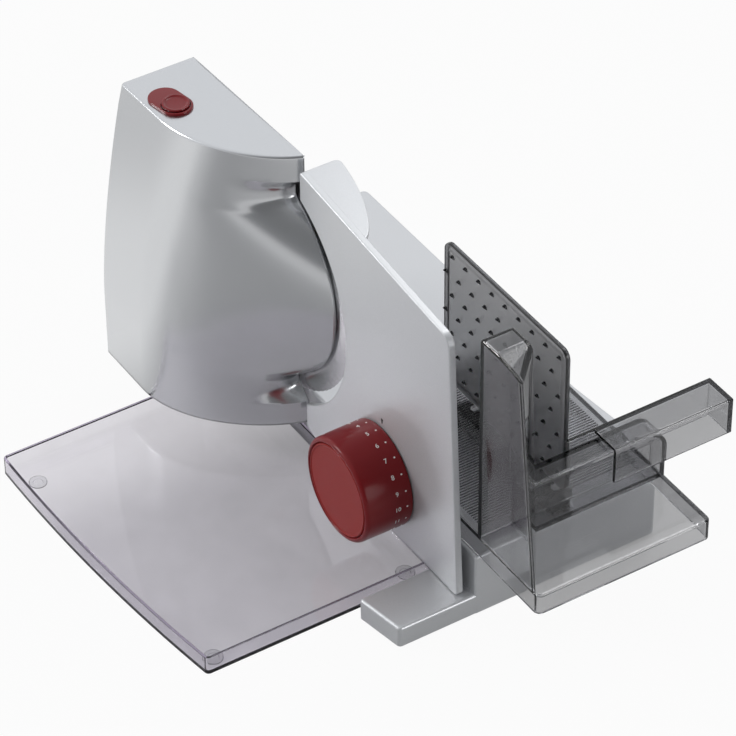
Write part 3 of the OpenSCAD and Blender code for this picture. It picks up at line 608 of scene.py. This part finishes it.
def makeTower():
    lowLip, lowGroove, highGroove, highLip = tower["creases"]
    heights = np.concatenate([
        np.linspace(tower["foot"], lowLip, 8), np.linspace(lowLip, lowGroove, 9)[1:],
        np.linspace(lowGroove, highGroove, 110)[1:], np.linspace(highGroove, highLip, 9)[1:]])[:, None]
    x, y = towerPlan(heights)
    z = heights + 0 * x
    # lip rows climb from the upper crease to the rounded edge, which follows the slope of the top
    climb = np.linspace(0, 1, 7)[1:, None]
    lipX, lipY = towerPlan(highLip + climb * (tower["top"] - highLip))
    lipZ = highLip + climb * (towerRoof(lipY) - tower["edge"] - highLip)
    # rounded edge: each row steps in by r (1 - cos a) along the plan's normal and up by r sin a
    rimX, rimY = lipX[-1:], lipY[-1:]
    alongU = np.gradient(rimX[0]), np.gradient(rimY[0])
    size = np.hypot(*alongU)
    inX, inY = -alongU[1] / size, alongU[0] / size
    angle = np.radians(np.linspace(0, 90, 7))[1:, None]
    inset = tower["edge"] * (1 - np.cos(angle))
    edgeX = np.minimum(rimX + inset * inX, tower["bladeSide"])
    edgeY = rimY + inset * inY
    edgeZ = towerRoof(edgeY) - tower["edge"] * (1 - np.sin(angle))
    # the top runs from the edge straight to the blade side
    run = np.linspace(0, 1, 24)[1:, None]
    spread = np.linspace(0, 1, rimX.shape[1])[None]
    endY = edgeY[-1:, :1] + (edgeY[-1:, -1:] - edgeY[-1:, :1]) * spread
    topX = edgeX[-1:] + (tower["bladeSide"] - edgeX[-1:]) * run
    topY = edgeY[-1:] + (endY - edgeY[-1:]) * run
    topZ = towerRoof(topY)
    grid = np.stack([np.concatenate(rows) for rows in (
        [x, lipX, edgeX, topX], [y, lipY, edgeY, topY], [z, lipZ, edgeZ, topZ])], -1)
    sheet = grid.reshape(-1, 3), gridFaces(*grid.shape[:2])
    makePiece("motorTower", sheet, "base", "silver_paint", ["motor_housing"], "glossPaint",
              wall=tower["wall"], sharpAngle=tower["sharpAngle"])


makeTower()
print("motor tower made")

# Switch on the tower's top: a long red surround and a dished button
switch = {
    "middle": (-38.2, 48.1), "turn": 8.0, "halfLength": 5.6, "radius": 9.8, "height": 1.6,
    "rim": ((0, 0.8), (0.08, 0.42), (0.24, 0.14), (0.5, 0)),  # inset and drop round the surround's upper edge
    "button": (-37.7, 42.9), "buttonRadius": 8.2, "gap": 0.4, "cap": 1.1, "dish": 0.9,
    "stemRadius": 6.0, "flangeRadius": 8.0, "flange": 2.0,
    "foot": 0.05, "ledge": 0.15,  # over the roof: the surround's underside, and the floor of its hole
}


def makeSurround():
    # rings from the outer wall over the rounded edge to the hole, down it, across its floor and back under
    half, radius, top = switch["halfLength"], switch["radius"], switch["height"]
    side = np.linspace(-half, half, 12)[1:-1]
    pill = np.concatenate([
        arcPoints((0, -half), radius, 180, 360, 28), np.stack([radius + 0 * side, side], -1),
        arcPoints((0, half), radius, 0, 180, 28), np.stack([0 * side - radius, -side], -1)])
    cos, sin = math.cos(math.radians(switch["turn"])), math.sin(math.radians(switch["turn"]))
    spun = pill @ np.array([[cos, sin], [-sin, cos]]) + switch["middle"]
    normals = outwardNormals(spun)
    button = np.array(switch["button"])
    spokes = (spun - button) / np.linalg.norm(spun - button, axis=1, keepdims=True)
    hole, inner = switch["buttonRadius"] + switch["gap"], switch["stemRadius"] + switch["gap"]
    foot, ledge = switch["foot"], switch["ledge"]
    well = ((hole + 0.2, top), (hole, top - 0.25), (hole, ledge), (inner, ledge), (inner, foot))
    rings = [(spun, foot)] + [(spun - inset * normals, top - drop) for inset, drop in switch["rim"]]
    rings += [(button + reach * spokes, level) for reach, level in well]
    points = [np.column_stack([ring, towerRoof(ring[:, 1]) + level]) for ring, level in rings]
    faces = gridFaces(len(rings), len(spun), wrapRows=True, wrapCols=True)
    makePiece("switchSurround", (np.concatenate(points), faces), "base", "red_plastic", ["switch_bezel"],
              "glossRed")


def makeButton():
    # a dish with a steep wall, a rounded rim, the cap's underside, the stem and the flange that holds it in
    low, high = (1000 * corner.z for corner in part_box("switch_button"))
    r, stem, flange = switch["buttonRadius"], switch["stemRadius"], switch["flangeRadius"]
    floor, under, ledge = high - switch["dish"], high - switch["cap"], low + switch["flange"]
    profile = [(0, floor), (r - 2.6, floor + 0.03), (r - 1.9, floor + 0.2), (r - 1.45, high - 0.25),
               (r - 1.1, high - 0.03), (r - 0.5, high), (r - 0.15, high - 0.18), (r, high - 0.6), (r, under),
               (stem, under), (stem, ledge), (flange, ledge), (flange, low), (0, low)]
    makePiece("switchButton", lathe(profile, along("z", switch["button"]), 64), "switch", "red_plastic",
              ["switch_button"], "glossRed")


makeSurround()
makeButton()
print("switch made")

# Stop plate with its lip, and the mark over the dial
plate = {
    "face": -5.0, "thick": 4.6, "edge": 0.8,
    "backY": -46.0, "backTop": 215.3, "slope": 0.11,  # the top falls towards the front
    "frontTopY": -198.6, "frontSlopeY": -199.0, "frontLowY": -209.3, "low": 16.6,
    "riseY": -100.0, "heelY": -48.5, "heelZ": 28.0, "heelTop": 60.0,  # the lower edge rises to a heel
    "corners": (0.5, 1.5, 9.0, 3.0, 30.0, 3.0), "cornerSteps": 9,
    "arcCentre": (-9.0, 120.0), "arcRadius": 84.2,
    "lipWidth": 21.6, "lipLength": 63.0, "lipThick": 3.0, "lipPowers": (1.7, 0.7), "lipCorner": 4.0,
    "lipBack": 0.4, "lipSink": 0.15, "lipRoot": 1.0,  # short of the back, below the top, into the plate
    "lipEdge": ((0.9, 0), (0.3, 0.25), (0, 0.9)),  # inset, and distance from the lip's lower or upper face
    "mark": (-131.4, 91.7), "markSize": 2.2, "markCorner": 0.25, "print": 0.12, "printRoot": 0.2,
}


def plateTop(y):
    return plate["backTop"] + plate["slope"] * (y - plate["backY"])


def platePanel(back, face):
    p = plate
    centre, radius, edge = p["arcCentre"], p["arcRadius"], p["edge"]
    lowAngle = 360 - math.degrees(math.acos((p["heelY"] - centre[0]) / radius))
    highAngle = math.degrees(math.acos((p["backY"] - centre[0]) / radius))
    arc = arcPoints(centre, radius, lowAngle, highAngle, 64)
    # the arc's ends join the straight sides; the first corner only gives their direction, and is dropped
    frontTop = p["frontTopY"], plateTop(p["frontSlopeY"])
    corners = [(p["heelY"], p["heelTop"]), (p["backY"], p["backTop"]), frontTop, (p["frontLowY"], p["low"]),
               (p["riseY"], p["low"]), (p["heelY"], p["heelZ"])]
    sides = roundCorners(corners, p["corners"], p["cornerSteps"])[p["cornerSteps"]:]
    profile = [(edge + 0.6, back), (edge, back)]
    profile += [(edge - a, back + edge - b) for a, b in arcPoints((0, 0), edge, 90, 0, 5)[1:]]
    profile += roundedTop(edge, face, 5) + [(edge + 0.6, face)]
    return ringSolid(tidyOutline(np.concatenate([sides, arc])), profile, along("x"))


def plateLip(face):
    # with u from 0 at its back to 1 at its nose, the lip's width falls as (1 - u ^ bulge) ^ blunt
    p = plate
    width, length, corner = p["lipWidth"], p["lipLength"], p["lipCorner"]
    root, start, end = face - p["lipRoot"], p["backY"] - p["lipBack"], p["backY"] - length
    pastCorner = 0.055
    u = 1 - (1 - np.linspace(pastCorner, 1, 26)) ** 2
    bulge, blunt = p["lipPowers"]
    nose = np.stack([face + width * (1 - u ** bulge) ** blunt, p["backY"] - length * u], -1)
    bend = arcPoints((face + width - corner, start - corner), corner, 90, 10, 6)
    outline = tidyOutline(np.concatenate([[(root, end), (root, start)], bend, nose]))
    bottom, top = -p["lipThick"], -p["lipSink"]
    profile = [(inset, bottom + gap) for inset, gap in p["lipEdge"]]
    profile += [(inset, top - gap) for inset, gap in p["lipEdge"][::-1]]

    def onSlope(a, b, level):
        return np.stack([a, b, plateTop(b) + level], -1)

    return ringSolid(outline, profile, onSlope)


def makeStopPlate():
    face = plate["face"]
    back = face - plate["thick"]
    makePiece("stopPlate", joinParts([platePanel(back, face), plateLip(face)]), "stop_plate", "silver_paint",
              ["stop_plate"])
    (y, z), size = plate["mark"], plate["markSize"]
    triangle = [(y - size / 2, z + size), (y + size / 2, z + size), (y, z - size)]
    outline = roundCorners(triangle, plate["markCorner"], 4)
    mark = ringSolid(outline, [(0, back - plate["print"]), (0, back + plate["printRoot"])], along("x"))
    makePiece("dialMark", mark, "stop_plate", "black_plastic", finish="printBlack")


makeStopPlate()
print("stop plate made")

# Dial: a red drum with a paler face, and white numbers round its rim
dial = {
    "axis": (-132.0, 55.0), "radius": 33.0, "taper": 0.3, "faceX": -41.1, "rimX": -10.2, "wall": 2.5,
    "round": 2.6, "faceRadius": 29.0, "bore": 4.05, "wellRadius": 6.2, "bossRadius": 8.0,
    "wellDepth": 6.2, "seatDepth": 1.7, "webDepth": 3.7,  # from the face
    "bossShort": 2.0,  # from the rim
    "numbers": 19, "step": 18.0, "atMark": 5,  # degrees from one number to the next; the number at the mark
    "numberX": -20.0, "numberSize": 4.1, "dotX": -14.2, "dotRadius": 0.55, "dotSides": 12, "printHalf": 0.1,
}


def makeDial():
    radius, face, rim, seat = dial["radius"], dial["faceX"], dial["rimX"], dial["faceRadius"]
    inner, bore, boss, well = radius - dial["wall"], dial["bore"], dial["bossRadius"], dial["wellRadius"]
    deep, shallow, web = face + dial["wellDepth"], face + dial["seatDepth"], face + dial["webDepth"]
    # from the bore over the seat of the face, round the front edge, along the side, and back inside
    r = dial["round"]
    bend = arcPoints((radius - dial["taper"] - r, face + r), r, -90, 0, 10)
    side = np.stack([np.linspace(radius - 0.29, radius, 6), np.linspace(face + 3, rim - 0.8, 6)], -1)
    profile = [(bore, deep), (well, deep), (well, shallow), (seat + 0.1, shallow), (seat + 0.5, face + 0.5)]
    profile += [*bend, *side, (radius - 0.3, rim - 0.1), (radius - 0.8, rim), (inner, rim)]
    short = rim - dial["bossShort"]
    profile += [(inner - 0.6, web), (boss, web), (boss, short), (bore, short), (bore, deep)]
    place = along("x", dial["axis"])
    makePiece("dialDrum", lathe(profile, place, 160), "dial", "red_plastic", ["knob"])
    # the face: a shallow dish with a rounded rim
    disc = [(0, face + 0.5), (seat * 0.6, face + 0.48), (seat - 1.8, face + 0.45), (seat - 1.5, face + 0.35),
            (seat - 1.2, face + 0.1), (seat - 0.8, face), (seat - 0.4, face + 0.1), (seat - 0.1, face + 0.4),
            (seat, face + 0.8), (seat, shallow - 0.05), (0, shallow - 0.05)]
    makePiece("dialFace", lathe(disc, place, 128), "dial", "red_plastic", ["knob_face"], "dialFace")


def wrapOnDial(flat, angle, x):
    # flat print laid on the rim: its width runs along x, its height back round the rim from the given angle
    turn = angle - flat[:, 1] / dial["radius"]
    radius = dial["radius"] + flat[:, 2]
    return along("x", dial["axis"])(-radius * np.sin(turn), radius * np.cos(turn), x + flat[:, 0])


def numberMesh(text):
    # one number as a flat mesh with a little thickness, centred on its own middle
    words = bpy.data.curves.new("number", "FONT")
    words.body = text
    words.size = dial["numberSize"]
    words.extrude = dial["printHalf"]
    words.resolution_u = 3
    holder = bpy.data.objects.new("number", words)
    mesh = bpy.data.meshes.new_from_object(holder)
    points = np.zeros(len(mesh.vertices) * 3)
    mesh.vertices.foreach_get("co", points)
    points = points.reshape(-1, 3)
    points[:, :2] -= (points[:, :2].min(0) + points[:, :2].max(0)) / 2
    faces = [list(p.vertices) for p in mesh.polygons]
    bpy.data.objects.remove(holder)
    bpy.data.curves.remove(words)
    bpy.data.meshes.remove(mesh)
    return points, faces


def makeDialPrint():
    sides, half = dial["dotSides"], dial["printHalf"]
    ring = arcPoints((0, 0), dial["dotRadius"], 0, 360 - 360 / sides, sides)
    dot = ringSolid(ring, [(0, -half), (0, half)], along("z"))
    parts = []
    for number in range(dial["numbers"]):
        angle = math.radians((number - dial["atMark"]) * dial["step"])
        for (points, faces), x in ((numberMesh(str(number)), dial["numberX"]), (dot, dial["dotX"])):
            parts.append((wrapOnDial(points, angle, x), faces))
    makePiece("dialNumbers", joinParts(parts), "dial", "white_plastic", finish="printWhite")


makeDial()
makeDialPrint()
print("dial made")

# Blade: a dished disc with a fine wave in its edge
blade = {
    "thick": 1.2, "edgeThick": 0.3, "bevelWidth": 5.0, "flatWidth": 16.0,
    "dish": 2.8, "dishRadius": 26.0, "boreRadius": 8.05,
    "waves": 90, "waveDepth": 0.45, "stepsPerWave": 8,
}


def makeBlade():
    radius, dish, thick, bore = bladeRadius, blade["dish"], blade["thick"], blade["boreRadius"]
    flat, middle = radius - blade["flatWidth"], blade["dishRadius"]
    profile = [(bore, -dish), (middle, -dish), (flat - 4, -0.25), (flat, 0)]
    profile += [(r, 0) for r in np.linspace(flat, radius, 8)[1:]]
    profile += [(radius, -blade["edgeThick"]), (radius - blade["bevelWidth"], -thick), (flat - 0.3, -thick),
                (middle - 0.3, -dish - thick), (bore, -dish - thick), (bore, -dish)]

    def wave(r, angle):  # the edge draws back by the wave's depth, fading within the ground bevel
        near = np.clip((r - radius + blade["bevelWidth"]) / blade["bevelWidth"], 0, 1) ** 2
        return -near * blade["waveDepth"] * (0.5 - 0.5 * np.cos(blade["waves"] * angle))

    disc = lathe(profile, along("x", (0, bladeAxisZ)), blade["waves"] * blade["stepsPerWave"], wave)
    makePiece("bladeDisc", disc, "blade", "blade_steel", ["blade"])


makeBlade()
print("blade made")

# Slice tray: a shallow clear dish with a bowed outer side, on four pads
tray = {
    "reach": 167.5, "bow": 14.0, "bowAt": 12.0, "bowOver": 186.0,  # the outer side falls back with y squared
    "frontY": -173.5, "backY": 41.0, "bladeX": -0.6,
    "low": 1.0, "high": 14.0, "wall": 2.0, "corner": 3.4,
    "pads": ((-154.0, 22.0), (-143.0, -162.0), (-14.0, 22.0), (-14.0, -162.0)),
    "padRadius": 5.5, "padRing": (3.2, 2.8), "padGap": 0.03, "padFoot": 0.05,
}


def makeTray():
    y = np.linspace(tray["backY"], tray["frontY"], 17)
    side = -tray["reach"] + tray["bow"] * ((tray["bowAt"] - y) / tray["bowOver"]) ** 2
    bladeSide = [(tray["bladeX"], tray["frontY"]), (tray["bladeX"], tray["backY"])]
    corners = np.concatenate([bladeSide, np.stack([side, y], -1)])
    radii = np.full(len(corners), 0.01)  # the bowed side's own points stay all but sharp
    radii[[0, 1, 2, -1]] = tray["corner"]
    low, high, wall = tray["low"], tray["high"], tray["wall"]
    # from the floor up inside, over the rim and down outside to the underside
    floor = low + wall
    profile = [(wall + 1.2, floor), (wall + 0.7, floor + 0.1), (wall + 0.2, floor + 0.5), (wall, floor + 1.2),
               (wall, high - 0.5), (wall - 0.5, high), (0.5, high), (0.15, high - 0.15), (0, high - 0.5),
               (0, low + 1.5), (0.5, low + 0.4), (1.5, low), (wall + 1.2, low)]
    dish = ringSolid(roundCorners(corners, radii, 9), profile, along("z"))
    makePiece("sliceTray", dish, "tray", "tray_plastic", ["slice_tray"])


def makeTrayPads():
    # each pad is a low disc with a rounded lower edge and a shallow ring round its middle
    r, top, foot = tray["padRadius"], tray["low"] - tray["padGap"], tray["padFoot"]
    outer, inner = tray["padRing"]
    profile = [(0, top), (r, top), (r, 0.4), (r - 0.4, foot), (outer, foot), (inner, 0.35), (0, 0.35)]
    parts = [lathe(profile, along("z", centre), 40) for centre in tray["pads"]]
    makePiece("trayPads", joinParts(parts), "tray", "tray_plastic", ["tray_pads"], "smoke_plastic")


makeTray()
makeTrayPads()
print("tray made")

# Carriage: a floor with a skirt on three sides, a hollow front wall and ribs
carriage = {
    "left": 2.0, "right": 121.0, "frontY": -272.5, "backY": -78.0,
    "floor": 60.0, "skirt": 45.8, "wall": 2.5, "corner": 4.2, "edge": 1.5,
    "wallLeft": 27.0, "wallRight": 120.0, "wallFrontY": -228.0, "wallBackY": -212.6,
    "wallTop": 96.0, "wallSink": 0.02, "wallRound": 12.0, "wallCorner": 1.6, "wallEdge": 1.0,
    "ribs": 61, "ribFirst": -205.0, "ribStep": 2.0, "ribWidth": 1.0, "ribHeight": 0.8, "ribEnds": (6.0, 7.0),
}


def makeCarriageFloor():
    c = carriage
    plan = roundCorners(boxCorners((c["left"], c["frontY"]), (c["right"], c["backY"])), c["corner"], 7)
    lid = ringSolid(plan, lidProfile(c["skirt"], c["floor"], c["wall"], c["edge"]), along("z"))
    makePiece("carriageFloor", lid, "carriage", "smoke_plastic", ["carriage"])


def makeCarriageWall():
    # outline in x and z, levels along y; the hollow has its own outline, one wall further in
    c = carriage
    t, e, low, corner = c["wall"], c["wallEdge"], c["floor"] - c["wallSink"], c["wallCorner"]
    left, right, top, y0, y1 = c["wallLeft"], c["wallRight"], c["wallTop"], c["wallFrontY"], c["wallBackY"]
    front = roundCorners(boxCorners((left, low), (right, top)), [corner, corner, c["wallRound"], corner], 10)
    inside = roundCorners(boxCorners((left + t, low + t), (right - t, top - t)),
                          [corner, corner, c["wallRound"] - t, corner], 10)
    outer = [(e, y0), (0.3 * e, y0 + 0.3 * e), (0, y0 + e), (0, y1 - e), (0.3 * e, y1 - 0.3 * e), (e, y1)]
    inner = [(e, y1 - t), (0, y1 - t - e), (0, y0 + t + e), (e, y0 + t)]
    makePiece("carriageWall", ringSolid(front, outer, along("y")), "carriage", "smoke_plastic", ["carriage"],
              hollow=ringSolid(inside, inner, along("y")))


def makeCarriageRibs():
    c = carriage
    left, right, z = c["left"] + c["ribEnds"][0], c["right"] - c["ribEnds"][1], c["floor"]
    bars = []
    for k in range(c["ribs"]):
        y = c["ribFirst"] + k * c["ribStep"]
        bar = roundCorners(boxCorners((left, y), (right, y + c["ribWidth"])), c["ribWidth"] / 2, 4)
        bars.append(ringSolid(bar, [(0, z - 0.05), (0, z + 0.5), (0.3, z + c["ribHeight"])], along("z")))
    makePiece("carriageRibs", joinParts(bars), "carriage", "smoke_plastic", ["carriage"])


makeCarriageFloor()
makeCarriageWall()
makeCarriageRibs()

# Thumb guard: a tapered hollow post, wide on the blade side, with a small cap and a sloping front at its top
guard = {
    "left": 2.0, "backY": -212.0, "wall": 2.4, "corner": 0.9, "edge": 2.6,
    "levels": (  # height, front of the blade side, right side, front of the right side
        (60.05, -270.0, 26.8, -234.0), (199.0, -252.5, 24.0, -230.5), (203.5, -225.0, 23.6, -226.0)),
    "slantWall": 1.8,  # the slanting front's wall measured along y, in walls
}


def guardRing(z, frontLeft, right, frontRight, drawn, corner):
    # a level ring whose left, right and back are drawn in by a distance
    left, right, back = guard["left"] + drawn, right - drawn, guard["backY"] - drawn
    ring = roundCorners([(left, back), (left, frontLeft), (right, frontRight), (right, back)], corner, 7)
    return np.column_stack([ring, np.full(len(ring), z)])


def makeGuard():
    table = np.array(guard["levels"])
    low, bend, top = table[:, 0]
    wall, edge, corner = guard["wall"], guard["edge"], guard["corner"]
    # heights closer together at the bend, then round the top edge; the sides are a mean over nearby heights
    around = np.radians(np.linspace(0, 90, 9))[1:]
    straight = np.concatenate([np.linspace(low, bend - 6, 10), np.linspace(bend - 4, top - edge, 8)])
    height = np.concatenate([straight, top - edge + edge * np.sin(around)])
    drawn = np.concatenate([0 * straight, edge * (1 - np.cos(around))])
    nearby = height[:, None] + np.linspace(-1, 1, 9)[None]
    sides = np.stack([np.interp(nearby, table[:, 0], table[:, k]).mean(1) for k in range(1, 4)], -1)
    outer, hollow = [], []
    for z, inward, (frontLeft, right, frontRight) in zip(height, drawn, sides):
        outer.append(guardRing(z, frontLeft, right, frontRight, inward, corner))
        if z < top - wall:
            slant = frontLeft + guard["slantWall"] * wall
            hollow.append(guardRing(z, slant, right, frontRight + wall, wall, corner / 2))
    rings = hollow[::-1] + outer
    makePiece("thumbGuard", (np.concatenate(rings), tubeFaces(len(rings), len(outer[0]))), "carriage",
              "smoke_plastic", ["thumb_guard"])


makeGuard()
print("carriage and guard made")

# Pusher: a rimmed plate with spikes, on an arm
pusher = {
    "x": 62.0, "rim": 3.5, "web": 2.5, "recess": 0.4,
    "low": 62.0, "high": 163.0, "backY": -86.0, "frontY": -208.6, "corner": 6.0,
    "armEdge": 0.6,
}


def makePusher():
    p = pusher
    outline = roundCorners(boxCorners((p["frontY"], p["low"]), (p["backY"], p["high"])), p["corner"], 9)
    x0, x1, web, floor = p["x"], p["x"] + p["rim"], p["x"] + p["web"], p["x"] + p["recess"]
    # from the recess on the blade side over its rim, round the outer edge, and over the other rim to the web
    profile = [(5.9, floor), (5.3, floor), (4.9, x0 + 0.3), (4.6, x0), (0.9, x0), (0.25, x0 + 0.25),
               (0, x0 + 0.9), (0, x1 - 0.9), (0.25, x1 - 0.25), (0.9, x1), (2.2, x1), (2.5, x1 - 0.2),
               (2.7, web + 0.3), (3.2, web), (3.8, web)]
    panel = ringSolid(outline, profile, along("x"))
    makePiece("pusherPlate", panel, "pusher", "smoke_plastic", ["pusher_plate"], "deepSmoke")
    roundedCopy("pusherArm", "pusher_arm", "pusher", "smoke_plastic", p["armEdge"])


makePusher()
print("pusher made")

# Base: a hollow block under the carriage, with a front foot and a rear foot to the slice side
base = {
    "left": 0.15, "right": 126.0, "frontY": -213.5, "backY": 110.0, "low": 1.5, "high": 45.0,
    "flare": 137.0, "flareY": -162.0, "backRight": 133.0, "backRightY": -120.0,
    "wall": 3.0, "edge": 2.0, "corner": 4.0, "flareCorner": 12.0, "footSideCorner": 1.5,
    "slotX": 62.0, "slotHalf": 7.0, "slotFrontY": -209.5, "slotBackY": 62.0,
    "footReach": 57.0, "footTaper": 6.0, "footDepth": 34.0, "footHigh": 16.0,
    "footEdge": 2.0, "footCorner": 2.6, "footRoot": 3.5,  # the root reaches into the base
    "rearLeft": -57.0, "rearBackLeft": -50.0, "rearFrontY": 46.0, "rearBackY": 106.0, "rearSideY": 99.0,
    "rearHigh": 24.0, "rearCorners": (6.0, 4.0),
    "glandAt": (100.0, 24.0), "glandRadius": 7.8, "glandBore": 3.4, "glandOut": 1.9, "glandRoot": 0.2,
}


def makeBaseBody():
    b = base
    corner, flare = b["corner"], b["flareCorner"]
    plan = roundCorners(
        [(b["left"], b["frontY"]), (b["right"], b["frontY"]), (b["flare"], b["flareY"]),
         (b["backRight"], b["backRightY"]), (b["backRight"], b["backY"]), (b["left"], b["backY"])],
        [b["footSideCorner"], corner, flare, flare, corner, corner], 9)
    profile = lidProfile(b["low"], b["high"], b["wall"], b["edge"])
    points = ringSolid(plan, profile, along("z"))[0].reshape(len(profile), -1, 3)
    # the first and last rings are drawn in to the nearest points of the rail's slot, which stays open
    slotLow = (b["slotX"] - b["slotHalf"], b["slotFrontY"], b["low"])
    slotHigh = (b["slotX"] + b["slotHalf"], b["slotBackY"], b["high"])
    under, over = (np.clip(points[[k]], slotLow, slotHigh) for k in (0, -1))
    rings = np.concatenate([under, points, over])
    shell = rings.reshape(-1, 3), gridFaces(len(rings), len(plan), wrapRows=True, wrapCols=True)
    makePiece("baseBody", shell, "base", "silver_paint", ["base_shell"])


def makeBaseFeet():
    b = base
    inside, small, low, edge = b["left"] + b["footRoot"], b["footCorner"], b["low"], b["footEdge"]
    frontY, backY, reach = b["frontY"], b["frontY"] + b["footDepth"], -b["footReach"]
    front = roundCorners(
        [(reach + b["footTaper"], frontY), (inside, frontY), (inside, backY), (reach, backY)], small, 9)
    side, turned = b["rearCorners"]
    rear = roundCorners(
        [(b["rearLeft"], b["rearFrontY"]), (inside, b["rearFrontY"]), (inside, b["rearBackY"]),
         (b["rearBackLeft"], b["rearBackY"]), (b["rearLeft"], b["rearSideY"])],
        [side, small, small, turned, turned], 9)
    parts = []
    for outline, high in ((front, b["footHigh"]), (rear, b["rearHigh"])):
        profile = [(1.5, low), (0.6, low), (0, low + 0.6)] + roundedTop(edge, high, 7)
        parts.append(ringSolid(outline, profile, along("z")))
    makePiece("baseFeet", joinParts(parts), "base", "silver_paint", ["base_shell"])


def makeGland():
    # from the floor of the bore out to the rounded collar and back to its root in the base
    collar, bore, back = base["glandRadius"], base["glandBore"], base["backY"]
    out, root = back + base["glandOut"], back - base["glandRoot"]
    profile = [(0, back + 0.05), (bore - 0.1, back + 0.05), (bore, back + 0.2), (bore, out - 0.5),
               (bore + 0.4, out), (collar - 0.8, out), (collar - 0.2, out - 0.3), (collar, out - 0.9),
               (collar, root), (0, root)]
    gland = lathe(profile, along("y", base["glandAt"]), 48)
    makePiece("cordGland", gland, "base", "black_plastic", ["cord_gland"])


makeBaseBody()
makeBaseFeet()
makeGland()
print("base made")

# The nodes that keep their CAD shape take the finish of their record slot, and the spikes a darker one
slotOfNode = {part["node"]: part["material_slot"] for part in frame["record"]["subparts"]}
for name, node in frame["nodes"].items():
    node.data.materials.clear()
    node.data.materials.append(finishes["spikeSmoke" if name == "pusher_spikes" else slotOfNode[name]])
print("CAD nodes finished:", len(slotOfNode))
